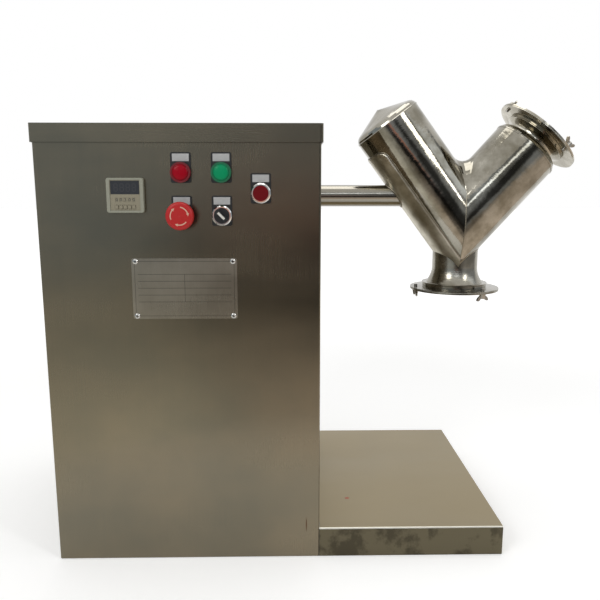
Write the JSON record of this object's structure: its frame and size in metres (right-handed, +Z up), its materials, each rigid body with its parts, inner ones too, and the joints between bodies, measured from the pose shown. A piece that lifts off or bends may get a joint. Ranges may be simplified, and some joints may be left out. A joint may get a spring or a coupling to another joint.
{
  "type": "v-type powder mixing tank",
  "caption": "Bench powder mixer: a polished V-shaped tank with lidded ports turns on a horizontal shaft beside a steel drive cabinet.",
  "frame": {"origin": "middle of the footprint on the floor, on the underside of the base's middle cross rail", "axes": "+X along the tank shaft from the cabinet to the tank, +Y to the back, +Z up"},
  "size_m": [0.8811, 0.4715, 0.7466],
  "materials": {
    "brushed_sheet": "brushed stainless sheet",
    "dark_frame": "dark grey painted steel",
    "drive_paint": "blue-grey enamel on castings",
    "bright_fasteners": "bright zinc-plated steel",
    "zinc_plate": "zinc-plated sheet",
    "ground_steel": "ground steel",
    "polished_steel": "mirror-polished stainless steel",
    "wing_screws": "cast stainless, satin",
    "silicone": "white silicone, matt",
    "black_plastic": "moulded, fine grain",
    "legend_black": "moulded, fine grain",
    "legend_silver": "brushed, bare",
    "bezel_chrome": "bright chrome",
    "red_plastic": "gloss red",
    "red_lens": "translucent red lens",
    "green_lens": "translucent green lens",
    "ivory_plastic": "moulded, satin",
    "timer_grey": "moulded, pale grey frame",
    "grey_plastic": "moulded, matt",
    "display": "smoked window",
    "nameplate": "bare etched plate, ruled lines only"
  },
  "bodies": {
    "machine_base": {"base_frame": "dark_frame", "base_deck": "brushed_sheet", "cabinet_shell": "brushed_sheet", "cabinet_frame": "dark_frame", "rear_panel": "brushed_sheet", "panel_screws": "bright_fasteners", "drive_shelf": "dark_frame", "bearing_housings": "drive_paint", "drive_bolts": "bright_fasteners", "gearbox_housing": "drive_paint", "gearbox_bracket": "dark_frame", "motor_body": "drive_paint", "fan_cowl": "dark_frame", "electrical_plate": "zinc_plate", "contactor": "grey_plastic", "terminal_blocks": "grey_plastic", "cable_gland": "black_plastic", "timer_case": "timer_grey", "timer_fascia": "ivory_plastic", "timer_window": "display", "switch_bodies": "black_plastic", "control_bezels": "bezel_chrome", "red_lens": "red_lens", "green_lens": "green_lens", "legend_plates": "legend_black", "legend_inserts": "legend_silver", "lock_nuts": "black_plastic", "contact_blocks": "grey_plastic", "nameplate": "nameplate"},
    "cover": {"top_cover": "brushed_sheet"},
    "drum": {"main_shaft": "ground_steel", "shaft_key": "ground_steel", "bearing_rings": "ground_steel", "output_sleeve": "ground_steel", "saddle_plate": "polished_steel", "left_arm": "polished_steel", "right_arm": "polished_steel", "crotch_fillet": "polished_steel", "left_head": "polished_steel", "right_head": "polished_steel", "feed_neck": "polished_steel", "outlet_neck": "polished_steel", "gaskets": "silicone"},
    "feed_lid": {"feed_lid": "polished_steel"},
    "outlet_lid": {"outlet_lid": "polished_steel"},
    "estop_plunger": {"estop_stem": "black_plastic"},
    "estop_head": {"estop_mushroom": "red_plastic"},
    "selector": {"selector_knob": "black_plastic"},
    "stop_button": {"push_button": "red_plastic"},
    "feed_wing_1": {"feed_screw_1": "wing_screws"},
    "outlet_wing_1": {"outlet_screw_1": "wing_screws"},
    "feed_wing_2": {"feed_screw_2": "wing_screws"},
    "outlet_wing_2": {"outlet_screw_2": "wing_screws"},
    "feed_wing_3": {"feed_screw_3": "wing_screws"},
    "outlet_wing_3": {"outlet_screw_3": "wing_screws"},
    "key_1": {"timer_key_1": "ivory_plastic"},
    "key_2": {"timer_key_2": "ivory_plastic"},
    "key_3": {"timer_key_3": "ivory_plastic"},
    "key_4": {"timer_key_4": "ivory_plastic"},
    "key_5": {"timer_key_5": "ivory_plastic"}
  },
  "joints": [
    {"name": "drum_spin", "type": "hinge", "parent": "machine_base", "child": "drum", "pos_m": [0, 0, 0.58], "axis": [1, 0, 0], "continuous": true},
    {"name": "cover_lift", "type": "slide", "parent": "machine_base", "child": "cover", "axis": [0, 0, 1], "range_m": [0, 0.06]},
    {"name": "feed_lid_lift", "type": "slide", "parent": "drum", "child": "feed_lid", "axis": [0.6691, 0, 0.7431], "range_m": [0, 0.06]},
    {"name": "outlet_lid_drop", "type": "slide", "parent": "drum", "child": "outlet_lid", "axis": [0, 0, -1], "range_m": [0, 0.06]},
    {"name": "estop_push", "type": "slide", "parent": "machine_base", "child": "estop_plunger", "axis": [0, 1, 0], "range_m": [0, 0.004]},
    {"name": "estop_twist", "type": "hinge", "parent": "estop_plunger", "child": "estop_head", "pos_m": [-0.14551, -0.2125, 0.5525], "axis": [0, 1, 0], "range_deg": [0, 45], "stiffness_Nm_per_rad": 0.05},
    {"name": "selector_turn", "type": "hinge", "parent": "machine_base", "child": "selector", "pos_m": [-0.0865, -0.2125, 0.5525], "axis": [0, 1, 0], "range_deg": [0, 90]},
    {"name": "stop_push", "type": "slide", "parent": "machine_base", "child": "stop_button", "axis": [0, 1, 0], "range_m": [0, 0.003], "stiffness_N_per_m": 500},
    {"name": "feed_wing_1_turn", "type": "hinge", "parent": "feed_lid", "child": "feed_wing_1", "pos_m": [0.48272, 0.06149, 0.66084], "axis": [0.6691, 0, 0.7431], "continuous": true},
    {"name": "feed_wing_2_turn", "type": "hinge", "parent": "feed_lid", "child": "feed_wing_2", "pos_m": [0.40358, 0, 0.7321], "axis": [0.6691, 0, 0.7431], "continuous": true},
    {"name": "feed_wing_3_turn", "type": "hinge", "parent": "feed_lid", "child": "feed_wing_3", "pos_m": [0.48272, -0.06149, 0.66084], "axis": [0.6691, 0, 0.7431], "continuous": true},
    {"name": "outlet_wing_1_turn", "type": "hinge", "parent": "outlet_lid", "child": "outlet_wing_1", "pos_m": [0.354, -0.06149, 0.413], "axis": [0, 0, -1], "continuous": true},
    {"name": "outlet_wing_2_turn", "type": "hinge", "parent": "outlet_lid", "child": "outlet_wing_2", "pos_m": [0.2475, 0, 0.413], "axis": [0, 0, -1], "continuous": true},
    {"name": "outlet_wing_3_turn", "type": "hinge", "parent": "outlet_lid", "child": "outlet_wing_3", "pos_m": [0.354, 0.06149, 0.413], "axis": [0, 0, -1], "continuous": true},
    {"name": "key_1_push", "type": "slide", "parent": "machine_base", "child": "key_1", "axis": [0, 1, 0], "range_m": [0, 0.001], "stiffness_N_per_m": 300},
    {"name": "key_2_push", "type": "slide", "parent": "machine_base", "child": "key_2", "axis": [0, 1, 0], "range_m": [0, 0.001], "stiffness_N_per_m": 300},
    {"name": "key_3_push", "type": "slide", "parent": "machine_base", "child": "key_3", "axis": [0, 1, 0], "range_m": [0, 0.001], "stiffness_N_per_m": 300},
    {"name": "key_4_push", "type": "slide", "parent": "machine_base", "child": "key_4", "axis": [0, 1, 0], "range_m": [0, 0.001], "stiffness_N_per_m": 300},
    {"name": "key_5_push", "type": "slide", "parent": "machine_base", "child": "key_5", "axis": [0, 1, 0], "range_m": [0, 0.001], "stiffness_N_per_m": 300}
  ]
}
